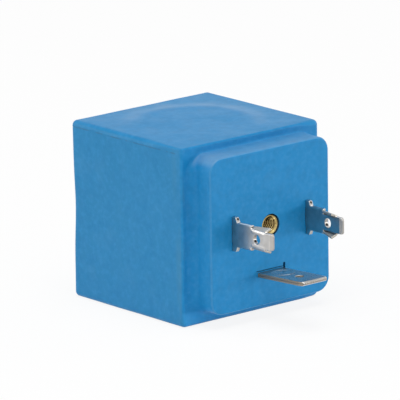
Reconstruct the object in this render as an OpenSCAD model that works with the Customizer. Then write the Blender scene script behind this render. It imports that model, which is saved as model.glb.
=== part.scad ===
// Potted solenoid coil with a three-blade plug face.
// The bore axis is Z, the base lies on Z = 0 and the blades point to -Y.

/* [Casing] */
// Width of the block, across the terminal face
body_x = 33.8; // [31:0.2:45]
// Depth of the block, without the terminal pad
body_y = 31.9; // [31:0.1:44]
// Height of the block
body_z = 34; // [32:0.5:50]
// Rounding of the block's outer edges
edge_r = 1; // [0.6:0.1:1.4]
// Thickness of the side walls
wall = 1.85; // [1.4:0.05:2.4]
// Thickness of the closed top
top_wall = 3.2; // [3:0.1:5]
// Rounding of the cup's inner corners
cavity_r = 0.8; // [0.4:0.1:1.5]

/* [Swell of the top] */
// Radius of the swell's flat middle
swell_r = 9.8; // [7:0.1:11]
// Width of the slope around the swell
swell_run = 4.2; // [2:0.1:5]
// Height of the swell above the top
swell_h = 0.12; // [0.05:0.01:0.3]

/* [Terminal pad] */
// Distance that the pad stands out of the block
pad_out = 5.25; // [4.5:0.05:8]
// Distance from the block's side to the pad's side
pad_side = 2.45; // [1.8:0.05:3]
// Distance from the base to the pad's lower edge
pad_foot = 2.7; // [2:0.1:4]
// Distance from the top to the pad's upper edge
pad_head = 1.6; // [1.6:0.1:3]
// Corner radius of the pad
pad_corner_r = 2.6; // [2.4:0.1:5]
// Rounding of the pad's front edge
pad_edge_r = 0.4; // [0.3:0.1:1]
// Radius of the hollow fillet at the foot of the pad
pad_fillet_r = 1.05; // [0.6:0.05:1.1]
// Thickness of the pad's walls
pad_wall = 1.8; // [1.4:0.1:2.2]

/* [Bore and magnet circuit] */
// Bore for the armature tube
bore_d = 13; // [10:0.1:14]
// Wall of the steel flux bushes
bush_wall = 1.2; // [0.8:0.1:1.6]
// Length of each flux bush
bush_l = 7.5; // [5:0.5:9]
// Thickness of the yoke's steel
yoke_t = 1.5; // [1.2:0.1:2]
// Width of the yoke's top and bottom plates
yoke_w = 20; // [19:0.5:24]
// Width of the tenons that lock the legs into the bottom plate
tenon_w = 8; // [5:0.5:10]
// Gap between a yoke leg and a line blade
leg_clear = 2.1; // [1.9:0.1:3]
// Resin below the bottom plate
base_t = 3; // [2.6:0.1:4]

/* [Spool and winding] */
// Thickness of the spool's flanges
flange_t = 1.2; // [0.8:0.1:2]
// Wall of the spool's tube around the flux bushes
spool_wall = 1; // [0.8:0.1:1.4]
// Step from the flange rim down to the wrapped winding
winding_step = 0.7; // [0.4:0.1:1]
// Thickness of the winding's wrap
tape_t = 0.3; // [0.2:0.05:0.5]
// Thickness of the insulating washers
washer_t = 0.3; // [0.2:0.05:0.5]
// Step from the flange rim in to the washer's rim
washer_step = 0.6; // [0.3:0.1:1]

/* [Plug face] */
// Height of the plug's centre above the base
plug_z = 17.7; // [17:0.1:19]
// Spacing of the line blades
line_pitch = 18; // [17:0.5:19]
// Drop from the plug's centre to the earth blade
earth_drop = 9; // [8.5:0.5:10]

/* [Line blades] */
// Thickness of the blades
blade_t = 0.8; // [0.6:0.1:1]
// Length of a line blade, from the pad
line_l = 11.2; // [10.5:0.1:14]
// Height of the root ears
ear_h = 6.5; // [5.6:0.1:7]
// Length of the root ears along their outer edges
ear_l = 1; // [0.8:0.1:2]
// Length of the slope from the root ears down to the blade
ear_run = 0.6; // [0.3:0.1:1.2]
// Height of the blade
line_h = 4.8; // [4.4:0.1:5.2]
// Height of the blade between the folds of its lips
fold_h = 3.6; // [3:0.1:4.2]
// Height of the blade's tip
tip_h = 3.1; // [2.6:0.1:3.6]
// Corner cut at the tip of a line blade
tip_cut = 0.4; // [0.2:0.1:0.8]
// Length of the bevel at the tip of a line blade
tip_bevel = 0.9; // [0.4:0.1:1.4]
// Distance from the pad to the folded lips
lip_start = 5.4; // [4.5:0.1:6]
// Length of the folded lips
lip_l = 3.6; // [3:0.1:4.2]
// Depth of the folded lips, from the blade's outer face
lip_depth = 1.6; // [1.2:0.1:2]
// Thickness of the folded lips
lip_t = 0.4; // [0.3:0.05:0.6]
// Angle by which the lips are folded, in degrees
lip_bend = 70; // [55:1:85]
// Upward set of the line blades, in degrees
line_tilt = 2; // [0:0.1:3]
// Hole in a line blade
line_hole_d = 1.8; // [1.2:0.1:2.2]
// Distance from the pad to the hole in a line blade
line_hole_at = 6.8; // [6:0.1:8]
// Height of a blade's tail behind the pad
tail_h = 3.2; // [2.6:0.1:4]
// Length of a blade's tail behind the terminal block
tail_out = 2.2; // [1.8:0.1:2.4]

/* [Earth blade] */
// Width of the earth blade
earth_w = 6.3; // [5.6:0.1:7]
// Length of the earth blade, from the pad
earth_l = 12.4; // [10:0.1:14]
// Corner cut at the tip of the earth blade, across its width
earth_cut = 0.3; // [0.2:0.1:1.4]
// Corner cut at the tip of the earth blade, along its length
earth_cut_l = 1.1; // [0.5:0.1:2]
// Length of the bevel at the tip of the earth blade
earth_bevel = 0.5; // [0.1:0.1:1.4]
// Upward set of the earth blade, in degrees
earth_tilt = 3; // [0:0.1:4]
// Hole in the earth blade
earth_hole_d = 1.6; // [1:0.1:2]
// Distance from the pad to the hole in the earth blade
earth_hole_at = 7.9; // [7:0.1:9]
// Diameter of the embossed ring
ring_d = 4.2; // [3:0.1:4.6]
// Distance from the pad to the centre of the embossed ring
ring_at = 3.3; // [3:0.1:4.5]
// Width of the embossed ring's bead
ring_w = 0.6; // [0.3:0.05:0.8]
// Height of the embossed ring above the blade
ring_h = 0.12; // [0.05:0.01:0.2]
// Open gap above the earth blade in its slot
slot_gap = 0.15; // [0.1:0.05:0.6]
// Height of the notch at the end of the earth slot
notch_h = 1.05; // [0.6:0.05:1.8]
// Width of the notch at the end of the earth slot
notch_w = 0.5; // [0.2:0.05:0.6]
// Height of the foot that turns up behind the terminal block
foot_h = 4.4; // [4:0.1:4.8]
// Shank of the earth rivet
rivet_d = 2; // [1.4:0.1:2.4]
// Head of the earth rivet
rivet_head_d = 3.2; // [2.8:0.1:3.6]
// Thickness of the rivet's head
rivet_head_t = 0.7; // [0.4:0.1:1]
// Width and depth of the rivet's flared end
flare = 0.4; // [0.2:0.05:0.5]

/* [Screw insert] */
// Core diameter of the insert's thread
thread_d = 2.5; // [2:0.1:3.3]
// Depth from the pad's face to the insert's face
insert_recess = 0.25; // [0.1:0.05:0.6]
// Outer diameter of the insert's nose
nose_d = 3.9; // [3.8:0.1:4.4]
// Open ring around the insert's nose
nose_gap = 0.3; // [0.1:0.05:0.5]
// Diameter of the insert's knurled body
insert_d = 5; // [4.8:0.1:6]
// Depth of the grooves in the insert's body
insert_groove = 0.35; // [0.2:0.05:0.4]
// Width of the countersink at the thread's mouth
mouth_d = 3.2; // [2.8:0.1:3.4]

/* [Leads] */
// Diameter of the winding's lead wires
lead_d = 0.7; // [0.4:0.05:0.8]
// Outer diameter of the lead sleeves
sleeve_d = 1.4; // [1.2:0.05:1.6]
// Distance from a spool flange to where its lead comes out
lead_rise = 3; // [2:0.1:5]
// Length of lead that stands out of a blade's tail
lead_end = 0.6; // [0.4:0.1:1]
// Width of a solder joint
solder_d = 2; // [1.6:0.1:2.4]

/* [Seal and retaining ring] */
// Section of the seal ring
seal_d = 1.3; // [1:0.1:1.4]
// Distance that the seal stands into the bore
seal_proud = 0.05; // [0:0.01:0.1]
// Height of the seal's groove above the base
seal_at = 0.8; // [0.6:0.1:1]
// Wire of the retaining ring
clip_d = 1; // [0.8:0.1:1]
// Distance that the retaining ring stands into the bore
clip_proud = 0.15; // [0.05:0.01:0.2]
// Opening of the retaining ring, in degrees
clip_gap = 60; // [30:5:90]

/* [Clearances] */
// Clearance around a piece that sits in another
fit = 0.05; // [0.02:0.01:0.1]
// Clearance between the yoke's legs and the cup, and between the spool and the legs
slack = 0.1; // [0.05:0.01:0.2]

/* [Hidden] */
$fn = 64;
// Depth by which one solid runs into another where they join or are cut
sink = 0.4;
// Number of steps in a formula-made profile
steps = 12;

// Levels from the base up
ceiling_z = body_z - top_wall;
plate_z = base_t;
plate_top = plate_z + yoke_t;
spool_z = plate_top + washer_t;
frame_z = ceiling_z - yoke_t;
spool_top = frame_z - washer_t;
window_z = spool_z + flange_t;
window_top = spool_top - flange_t;
earth_z = plug_z - earth_drop;

// Half sizes of the cup's cavity, and the yoke legs inside it
cavity_x = body_x / 2 - wall;
cavity_y = body_y / 2 - wall;
leg_out = cavity_y - slack;
leg_in = leg_out - yoke_t;
line_x = line_pitch / 2;
leg_w = line_pitch - blade_t - 2 * leg_clear;

// Radii around the bore
bore_r = bore_d / 2;
bush_r = bore_r + bush_wall;
spool_r = bush_r + fit + spool_wall;
flange_r = leg_in - slack;
tape_r = flange_r - winding_step;
winding_r = tape_r - tape_t;
washer_r = flange_r - washer_step;

// Terminal pad and the tunnel behind its face
front_y = -body_y / 2;
face_y = front_y - pad_out;
pad_x = body_x - 2 * pad_side;
pad_z = body_z - pad_foot - pad_head;
pad_mid_z = pad_foot + pad_z / 2;
tunnel_x = pad_x - 2 * pad_wall;
tunnel_z = pad_z - 2 * pad_wall;
tunnel_r = pad_corner_r - pad_wall;
tunnel_y = face_y + pad_wall;
block_l = -cavity_y - tunnel_y;
fillet_tilt = 12;
fillet_reach = pad_fillet_r * (cos(fillet_tilt) - sin(fillet_tilt));

// Insert, blade tails and leads
insert_face = face_y + insert_recess;
nose_l = pad_wall - insert_recess;
insert_l = nose_l + block_l - fit;
tail_end = -cavity_y + tail_out;
tail_hole_y = -cavity_y + tail_out / 2;
lead_r = lead_d / 2;
sleeve_r = sleeve_d / 2;
lead_x = line_x - blade_t / 2 - sleeve_r;
start_z = window_z + lead_rise;
finish_z = window_top - lead_rise;
solder_x = line_x + blade_t / 2;
rivet_z = earth_z + blade_t / 2 + foot_h / 2;
earth_bend = 0.3;
// Swelling of a lead at its bend
bend_swell = 1.15;
// Share of a lead's sloping run that its sleeve covers
sleeve_share = 0.8;

// Seal and retaining ring
seal_r = bore_r - seal_proud + seal_d / 2;
clip_r = bore_r - clip_proud + clip_d / 2;
clip_pocket_r = clip_r + clip_d / 2 + slack;
clip_z = ceiling_z + fit + clip_d / 2;

// Rectangle with round corners, centred
module round_rect(x, y, r) {
    square([x, y - 2 * r], center = true);
    square([x - 2 * r, y], center = true);
    for (sx = [-1, 1], sy = [-1, 1])
        translate([sx * (x / 2 - r), sy * (y / 2 - r)])
            circle(r);
}

// Block standing on Z = 0 with all its edges rounded
module round_block(x, y, z, r) {
    intersection() {
        linear_extrude(z)
            round_rect(x, y, r);
        translate([0, y / 2, z / 2])
            rotate([90, 0, 0])
                linear_extrude(y)
                    round_rect(x, z, r);
        translate([-x / 2, 0, z / 2])
            rotate([90, 0, 90])
                linear_extrude(x)
                    round_rect(y, z, r);
    }
}

// Prism with round corners that runs along Y from y0 to y1, centred on the pad
module pad_prism(x, z, r, y0, y1) {
    translate([0, y1, pad_mid_z])
        rotate([90, 0, 0])
            linear_extrude(y1 - y0)
                round_rect(x, z, r);
}

// Cylinder around the bore axis between two levels
module cylinder_between(r, z0, z1) {
    translate([0, 0, z0])
        cylinder(r = r, h = z1 - z0);
}

// Ring around the bore axis between two levels
module ring(r_out, r_in, z0, z1) {
    difference() {
        cylinder_between(r_out, z0, z1);
        cylinder_between(r_in, z0 - sink, z1 + sink);
    }
}

// Round bar along Y from y0 to y1
module bar_y(r, y0, y1, x, z) {
    translate([x, y1, z])
        rotate([90, 0, 0])
            cylinder(r = r, h = y1 - y0);
}

// Round bar along X from x0 to x1
module bar_x(r, x0, x1, y, z) {
    translate([x0, y, z])
        rotate([0, 90, 0])
            cylinder(r = r, h = x1 - x0);
}

// Box between two corners
module box(a, b) {
    translate(a)
        cube(b - a);
}

// Section of the hollow fillet, from the corner outwards
module fillet_section() {
    reach = fillet_reach;
    middle = pad_fillet_r * cos(fillet_tilt);
    difference() {
        translate([-sink, -sink])
            square([reach + sink, reach + sink]);
        translate([middle, middle])
            circle(pad_fillet_r);
    }
}

// Hollow fillet around the foot of the pad: four sides and four corners
module pad_fillet() {
    run_x = pad_x / 2 - pad_corner_r;
    run_z = pad_z / 2 - pad_corner_r;
    translate([0, front_y, pad_mid_z])
        rotate([90, 0, 0]) {
            for (s = [0, 180]) {
                rotate([0, 0, s])
                    translate([pad_x / 2, run_z, 0])
                        rotate([90, 0, 0])
                            linear_extrude(2 * run_z)
                                fillet_section();
                rotate([0, 0, s])
                    translate([-run_x, pad_z / 2, 0])
                        rotate([90, 0, 90])
                            linear_extrude(2 * run_x)
                                fillet_section();
            }
            for (sx = [0, 1], sz = [0, 1])
                mirror([sx, 0, 0])
                    mirror([0, sz, 0])
                        translate([run_x, run_z, 0])
                            rotate_extrude(angle = 90)
                                translate([pad_corner_r, 0])
                                    fillet_section();
        }
}

// Pad with its front edge rounded
module pad_body() {
    pad_prism(pad_x, pad_z, pad_corner_r, face_y + pad_edge_r, front_y + sink);
    intersection() {
        pad_prism(pad_x, pad_z, pad_corner_r, face_y, front_y);
        translate([-pad_x / 2, face_y, pad_mid_z])
            rotate([90, 0, 90])
                linear_extrude(pad_x)
                    front_rounding(pad_z);
        translate([0, face_y, pad_mid_z - pad_z / 2])
            rotate([0, 0, -90])
                linear_extrude(pad_z)
                    mirror([1, 0])
                        front_rounding(pad_x);
    }
}

// Side view of the pad's front: depth along X, width along Y
module front_rounding(w) {
    translate([pad_edge_r, -w / 2])
        square([pad_out, w]);
    translate([0, -w / 2 + pad_edge_r])
        square([pad_out, w - 2 * pad_edge_r]);
    for (s = [-1, 1])
        translate([pad_edge_r, s * (w / 2 - pad_edge_r)])
            circle(pad_edge_r);
}

// Low round swell of the top, with a soft slope around it
module swell() {
    slope = [for (i = [0 : steps])
        let (t = i / steps)
        [swell_r + swell_run * t, swell_h * (1 + cos(180 * t)) / 2]];
    translate([0, 0, body_z])
        rotate_extrude()
            polygon(concat([[0, -sink], [0, swell_h]], slope, [[swell_r + swell_run, -sink]]));
}

// Hollow of the cup from the base to a level
module cavity(z1) {
    linear_extrude(z1)
        round_rect(2 * cavity_x, 2 * cavity_y, cavity_r);
}

// Point of a line blade's drawing, lifted by the blade's upward set outside the pad
function lifted(p) = [p[0], p[1] + max(p[0], 0) * tan(line_tilt)];

// Outline of a line blade: length to the right, height up
module line_outline() {
    neck_end = lip_start - blade_t / 4;
    upper = [[face_y - tail_end, tail_h / 2], [0, tail_h / 2], [0, ear_h / 2], [ear_l, ear_h / 2],
        [ear_l + ear_run, line_h / 2], [neck_end, line_h / 2], [neck_end, fold_h / 2],
        [lip_start + lip_l, fold_h / 2], [line_l - tip_cut, tip_h / 2], [line_l, tip_h / 2 - tip_cut]];
    lower = [for (i = [len(upper) - 1 : -1 : 0]) [upper[i][0], -upper[i][1]]];
    polygon([for (p = concat(upper, lower)) lifted(p)]);
}

// Folded lip on the upper side: a strip that leaves the blade's outer face at its fold
module lip() {
    fold = fold_h / 2;
    edge = fold + lip_depth / tan(lip_bend);
    under = lip_t * [-cos(lip_bend), -sin(lip_bend)];
    rotate([-line_tilt, 0, 0])
        translate([0, -lip_start, 0])
            rotate([90, 0, 0])
                linear_extrude(lip_l)
                    polygon([[0, fold], [-lip_depth, edge], [-lip_depth, edge] + under, [0, fold] + under]);
}

// Plan of a blade's bevelled tip: length to the right, thickness up
module bevel_plan(length, bevel) {
    third = blade_t / 3;
    polygon([[-body_y, 0], [length - bevel, 0], [length, third], [length, 2 * third],
        [length - bevel, blade_t], [-body_y, blade_t]]);
}

// Turns a flat drawing so that its length runs out of the pad and its height up
module upright(thickness) {
    rotate([90, 0, -90])
        linear_extrude(thickness)
            children();
}

// Line blade on the +X side, with its lips folded towards the middle
module line_blade() {
    translate([line_x + blade_t / 2, face_y, plug_z])
        difference() {
            union() {
                intersection() {
                    upright(blade_t)
                        line_outline();
                    translate([0, 0, -ear_h])
                        linear_extrude(2 * ear_h)
                            rotate([0, 0, -90])
                                mirror([0, 1])
                                    bevel_plan(line_l, tip_bevel);
                }
                lip();
                rotate([-2 * line_tilt, 0, 0])
                    mirror([0, 0, 1])
                        lip();
            }
            bar_x(line_hole_d / 2, -2 * blade_t, sink, -line_hole_at, lifted([line_hole_at, 0])[1]);
            bar_x(lead_r + fit, -2 * blade_t, sink, tail_hole_y - face_y, 0);
        }
}

// Path of a lead from the winding to its blade's tail, on the +X side
module lead_path(r, z) {
    a = [lead_x, -sqrt(tape_r * tape_r - lead_x * lead_x) + sleeve_r, z];
    b = [lead_x, tail_hole_y, plug_z];
    rod(a, b, r);
    translate(b)
        sphere(r * bend_swell);
    bar_x(r, lead_x, solder_x + lead_end, tail_hole_y, plug_z);
}

// Round rod between two points of one X plane
module rod(a, b, r) {
    d = b - a;
    translate(a)
        rotate([acos(d[2] / norm(d)) * (d[1] < 0 ? 1 : -1), 0, 0])
            cylinder(r = r, h = norm(d));
}

// Lead wire that starts at the wrap, on the +X side
module lead(z) {
    difference() {
        lead_path(lead_r, z);
        cylinder(r = tape_r + fit, h = body_z);
    }
}

// Sleeve on the sloping run of a lead, on the +X side
module sleeve(z) {
    a = [lead_x, -sqrt(tape_r * tape_r - lead_x * lead_x) + sleeve_r, z];
    b = [lead_x, tail_hole_y, plug_z];
    difference() {
        rod(a, a + (b - a) * sleeve_share, sleeve_r);
        rod(a - (b - a), b, lead_r + fit);
        cylinder(r = tape_r + fit, h = body_z);
    }
}

// Cone of solder on the outer face of a blade's tail, on the +X side
module solder() {
    translate([solder_x, tail_hole_y, plug_z])
        rotate([0, 90, 0])
            difference() {
                cylinder(r1 = solder_d / 2, r2 = lead_d, h = lead_end);
                translate([0, 0, -sink])
                    cylinder(r = lead_r + fit, h = lead_end + 2 * sink);
            }
}

// Cup with the terminal pad
module casing() {
    color([0.18, 0.52, 0.77])
        difference() {
            union() {
                round_block(body_x, body_y, body_z, edge_r);
                swell();
                pad_body();
                pad_fillet();
            }
            translate([0, 0, -sink])
                cavity(ceiling_z + sink);
            cylinder_between(clip_pocket_r, ceiling_z - sink, ceiling_z + clip_d + 2 * fit);
            pad_prism(tunnel_x, tunnel_z, tunnel_r, tunnel_y, -cavity_y + sink);
            bar_y(nose_d / 2 + nose_gap, face_y - sink, tunnel_y + sink, 0, plug_z);
            for (s = [-1, 1])
                box([s * line_x - blade_t / 2 - fit, face_y - sink, plug_z - tail_h / 2 - fit],
                    [s * line_x + blade_t / 2 + fit, tunnel_y + sink, plug_z + tail_h / 2 + fit]);
            box([-earth_w / 2 - fit, face_y - sink, earth_z - blade_t / 2 - fit],
                [earth_w / 2 + fit, tunnel_y + sink, earth_z + blade_t / 2 + slot_gap]);
            box([earth_w / 2 - notch_w / 2, face_y - sink, earth_z],
                [earth_w / 2 + notch_w / 2, face_y + pad_wall / 2, earth_z + blade_t / 2 + notch_h]);
        }
}

// Potting resin that fills the cup around the magnet and closes the base
module resin_fill() {
    color([0.14, 0.42, 0.66])
        difference() {
            cavity(ceiling_z);
            cylinder_between(bore_r, -sink, base_t + sink);
            cylinder_between(seal_r + seal_d / 2 + fit, seal_at, seal_at + seal_d + 2 * fit);
            cylinder_between(flange_r + fit, plate_top, window_z);
            cylinder_between(tape_r + fit, plate_top, frame_z);
            cylinder_between(flange_r + fit, window_top, frame_z);
            for (s = [0, 1])
                mirror([0, s, 0])
                    box([-leg_w / 2 - fit, flange_r, plate_z], [leg_w / 2 + fit, cavity_y + sink, ceiling_z]);
            yoke_space(plate_z, plate_top);
            yoke_space(frame_z, ceiling_z + sink);
            for (s = [0, 1])
                mirror([s, 0, 0]) {
                    lead_path(sleeve_r + fit, s == 1 ? start_z : finish_z);
                    box([line_x - blade_t / 2 - fit, -cavity_y - sink, plug_z - tail_h / 2 - fit],
                        [line_x + blade_t / 2 + fit, tail_end + fit, plug_z + tail_h / 2 + fit]);
                    bar_x(solder_d / 2 + fit, solder_x, solder_x + lead_end + fit, tail_hole_y, plug_z);
                }
        }
}

// Space for a plate of the yoke
module yoke_space(z0, z1) {
    box([-yoke_w / 2 - fit, -cavity_y - sink, z0], [yoke_w / 2 + fit, cavity_y + sink, z1]);
}

// Spool with a bore in the middle and wider seats for the flux bushes
module bobbin() {
    color([0.9, 0.88, 0.8])
        difference() {
            union() {
                cylinder_between(flange_r, spool_z, window_z);
                cylinder_between(spool_r, spool_z, spool_top);
                cylinder_between(flange_r, window_top, spool_top);
            }
            cylinder_between(bore_r, plate_z, ceiling_z);
            cylinder_between(bush_r + fit, plate_z, plate_z + bush_l + fit);
            cylinder_between(bush_r + fit, ceiling_z - bush_l - fit, ceiling_z);
        }
}

// Copper winding
module winding() {
    color([0.72, 0.4, 0.2])
        ring(winding_r, spool_r, window_z, window_top);
}

// Wrap over the winding
module winding_tape() {
    color([0.85, 0.72, 0.3])
        ring(tape_r, winding_r, window_z, window_top);
}

// Steel bracket: top plate, two legs and a tenon on each leg
module yoke_frame() {
    color([0.62, 0.62, 0.64])
        difference() {
            union() {
                box([-yoke_w / 2, -leg_out, frame_z], [yoke_w / 2, leg_out, ceiling_z]);
                for (s = [0, 1])
                    mirror([0, s, 0]) {
                        box([-leg_w / 2, leg_in, plate_top], [leg_w / 2, leg_out, ceiling_z]);
                        box([-tenon_w / 2, leg_in, plate_z], [tenon_w / 2, leg_out, ceiling_z]);
                    }
            }
            cylinder_between(bush_r + fit, frame_z - sink, ceiling_z + sink);
            bar_y(rivet_d / 2 + fit, -leg_out - sink, -leg_in + sink, 0, rivet_z);
            rivet_flare(fit);
        }
}

// Steel plate that closes the bracket
module yoke_plate() {
    color([0.62, 0.62, 0.64])
        difference() {
            box([-yoke_w / 2, -leg_out, plate_z], [yoke_w / 2, leg_out, plate_top]);
            cylinder_between(bush_r + fit, plate_z - sink, plate_top + sink);
            for (s = [0, 1])
                mirror([0, s, 0])
                    box([-tenon_w / 2 - fit, leg_in - fit, plate_z - sink],
                        [tenon_w / 2 + fit, leg_out + sink, plate_top + sink]);
        }
}

// Steel sleeve at the top of the bore
module upper_flux_bush() {
    color([0.55, 0.55, 0.57])
        ring(bush_r, bore_r, ceiling_z - bush_l, ceiling_z);
}

// Steel sleeve at the bottom of the bore
module lower_flux_bush() {
    color([0.55, 0.55, 0.57])
        ring(bush_r, bore_r, plate_z, plate_z + bush_l);
}

// Insulating washer under the top plate
module upper_washer() {
    color([0.75, 0.3, 0.2])
        ring(washer_r, bush_r + fit, spool_top, frame_z);
}

// Insulating washer on the bottom plate
module lower_washer() {
    color([0.75, 0.3, 0.2])
        ring(washer_r, bush_r + fit, plate_top, spool_z);
}

// Block behind the pad's face that holds the blades and the insert
module terminal_block() {
    color([0.2, 0.2, 0.22])
        difference() {
            pad_prism(tunnel_x - 2 * fit, tunnel_z - 2 * fit, tunnel_r - fit, tunnel_y, -cavity_y);
            bar_y(insert_d / 2 + fit, tunnel_y - sink, -cavity_y + sink, 0, plug_z);
            for (s = [-1, 1])
                box([s * line_x - blade_t / 2 - fit, tunnel_y - sink, plug_z - tail_h / 2 - fit],
                    [s * line_x + blade_t / 2 + fit, -cavity_y + sink, plug_z + tail_h / 2 + fit]);
            box([-earth_w / 2 - fit, tunnel_y - sink, earth_z - blade_t / 2 - fit],
                [earth_w / 2 + fit, -cavity_y + sink, earth_z + blade_t / 2 + fit]);
            box([-earth_w / 2 - fit, -leg_out - blade_t - fit, earth_z - blade_t / 2 - fit],
                [earth_w / 2 + fit, -cavity_y + sink, earth_z + blade_t / 2 + foot_h + fit]);
            bar_y(rivet_head_d / 2 + fit, -leg_out - blade_t - rivet_head_t - fit, -cavity_y, 0, rivet_z);
        }
}

// Line blade on the -X side
module line_terminal_left() {
    color([0.82, 0.82, 0.84])
        mirror([1, 0, 0])
            line_blade();
}

// Line blade on the +X side
module line_terminal_right() {
    color([0.82, 0.82, 0.84])
        line_blade();
}

// Outline of the earth blade outside the pad: width along X, length along -Y
module earth_outline() {
    half = earth_w / 2;
    polygon([[-half, earth_bend], [-half, earth_cut_l - earth_l], [earth_cut - half, -earth_l],
        [half - earth_cut, -earth_l], [half, earth_cut_l - earth_l], [half, earth_bend]]);
}

// Earth blade: flat blade, straight root in the block and a foot riveted to the yoke leg
module earth_terminal() {
    half = earth_w / 2;
    low = earth_z - blade_t / 2;
    color([0.8, 0.79, 0.76])
        difference() {
            union() {
                translate([0, face_y, earth_z])
                    rotate([-earth_tilt, 0, 0])
                        earth_blade();
                box([-half, face_y, low], [half, -leg_out, low + blade_t]);
                box([-half, -leg_out - blade_t, low], [half, -leg_out, low + blade_t + foot_h]);
            }
            bar_y(rivet_d / 2 + fit, -leg_out - blade_t - sink, -leg_out + sink, 0, rivet_z);
        }
}

// Outer part of the earth blade, with its ring, its hole and its bevelled tip
module earth_blade() {
    difference() {
        union() {
            intersection() {
                translate([0, 0, -blade_t / 2])
                    linear_extrude(blade_t)
                        earth_outline();
                translate([earth_w / 2, 0, -blade_t / 2])
                    rotate([90, 0, -90])
                        linear_extrude(earth_w)
                            bevel_plan(earth_l, earth_bevel);
            }
            translate([0, -ring_at, blade_t / 2])
                rotate_extrude()
                    translate([ring_d / 2, ring_h - ring_w / 2])
                        circle(ring_w / 2);
        }
        translate([0, -earth_hole_at, -blade_t])
            cylinder(d = earth_hole_d, h = 2 * blade_t);
    }
}

// Flared end of the earth rivet, flush with the leg on the spool side
module rivet_flare(gap) {
    translate([0, -leg_in, rivet_z])
        rotate([90, 0, 0])
            cylinder(r1 = rivet_d / 2 + flare + gap, r2 = rivet_d / 2 + gap, h = flare);
}

// Rivet through the earth blade's foot and the yoke leg
module earth_rivet() {
    color([0.7, 0.7, 0.72]) {
        rivet_flare(0);
        bar_y(rivet_d / 2, -leg_out - blade_t - sink, -leg_in, 0, rivet_z);
        bar_y(rivet_head_d / 2, -leg_out - blade_t - rivet_head_t, -leg_out - blade_t, 0, rivet_z);
    }
}

// Brass insert: plain nose, grooved body and a threaded bore drawn at its core diameter
module thread_insert() {
    groove_w = (insert_l - nose_l) / 5;
    mouth_l = (mouth_d - thread_d) / 2;
    color([0.78, 0.62, 0.25])
        translate([0, insert_face, plug_z])
            rotate([-90, 0, 0])
                difference() {
                    union() {
                        cylinder(d = nose_d, h = nose_l + sink);
                        translate([0, 0, nose_l])
                            cylinder(r = insert_d / 2 - insert_groove, h = insert_l - nose_l);
                        for (i = [0, 2, 4])
                            translate([0, 0, nose_l + i * groove_w])
                                cylinder(d = insert_d, h = groove_w);
                    }
                    translate([0, 0, -sink])
                        cylinder(d = thread_d, h = insert_l + 2 * sink);
                    translate([0, 0, -sink])
                        cylinder(d1 = mouth_d + 2 * sink, d2 = thread_d, h = mouth_l + sink);
                }
}

// Lead from the start of the winding to the left blade
module start_lead() {
    color([0.8, 0.45, 0.25])
        mirror([1, 0, 0])
            lead(start_z);
}

// Lead from the end of the winding to the right blade
module finish_lead() {
    color([0.8, 0.45, 0.25])
        lead(finish_z);
}

// Sleeve on the start lead
module start_sleeve() {
    color([0.9, 0.9, 0.86])
        mirror([1, 0, 0])
            sleeve(start_z);
}

// Sleeve on the finish lead
module finish_sleeve() {
    color([0.9, 0.9, 0.86])
        sleeve(finish_z);
}

// Solder on both blade tails
module solder_joints() {
    color([0.75, 0.76, 0.78])
        for (s = [0, 1])
            mirror([s, 0, 0])
                solder();
}

// Seal ring at the mouth of the bore
module bore_seal() {
    color([0.1, 0.1, 0.1])
        translate([0, 0, seal_at + fit + seal_d / 2])
            rotate_extrude()
                translate([seal_r, 0])
                    circle(d = seal_d);
}

// Open spring ring at the blind end of the bore
module retaining_ring() {
    color([0.5, 0.5, 0.52])
        translate([0, 0, clip_z])
            rotate([0, 0, 90 + clip_gap / 2])
                rotate_extrude(angle = 360 - clip_gap)
                    translate([clip_r, 0])
                        circle(d = clip_d);
}

casing();
resin_fill();
bobbin();
winding();
winding_tape();
yoke_frame();
yoke_plate();
upper_flux_bush();
lower_flux_bush();
upper_washer();
lower_washer();
terminal_block();
line_terminal_left();
line_terminal_right();
earth_terminal();
earth_rivet();
thread_insert();
start_lead();
finish_lead();
start_sleeve();
finish_sleeve();
solder_joints();
bore_seal();
retaining_ring();
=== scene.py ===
# Looks of a potted solenoid coil with a three-blade plug face, in its CAD frame.
# Shapes are worked out in millimetres and scaled to metres when a mesh is made.
import math

import bmesh
import bpy
import numpy as np
from mathutils import Matrix, Vector


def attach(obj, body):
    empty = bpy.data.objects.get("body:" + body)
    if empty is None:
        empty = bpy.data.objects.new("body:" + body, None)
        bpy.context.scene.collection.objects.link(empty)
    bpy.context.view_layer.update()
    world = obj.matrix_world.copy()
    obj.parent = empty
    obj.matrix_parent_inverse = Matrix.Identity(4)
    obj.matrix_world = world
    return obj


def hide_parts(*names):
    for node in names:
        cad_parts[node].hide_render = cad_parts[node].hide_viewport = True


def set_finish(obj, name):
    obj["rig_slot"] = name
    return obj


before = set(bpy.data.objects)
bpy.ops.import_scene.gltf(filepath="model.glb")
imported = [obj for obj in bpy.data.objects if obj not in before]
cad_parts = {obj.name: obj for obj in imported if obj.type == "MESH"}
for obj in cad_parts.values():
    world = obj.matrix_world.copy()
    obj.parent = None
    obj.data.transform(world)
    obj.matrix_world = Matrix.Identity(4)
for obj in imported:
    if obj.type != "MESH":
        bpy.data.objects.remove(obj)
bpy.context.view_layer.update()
MM = 0.001

# Block and closed top
BODY = (33.8, 31.9, 34.0)
EDGE_R = 1.0
CRISP_LESS = 0.6
BLUNT_MORE = 0.4
EDGE_WAVER = 0.06
SKIN_INSET = 0.04
SINK_DEPTH = 0.2
SINK_MID_Z = 18
SINK_REACH = 7
SWELL_R = 9.8
SWELL_RUN = 4.2
SWELL_H = 0.115
SWELL_FOOT = 0.15
SWELL_FADE = (-11.3, 7.1)
FOOT_FADE = (16, 9.5)
FLASH_Z = 32.95
FLASH_W = 0.11
TOP_SKIN_Z = (33.2, 33.8)

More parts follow.
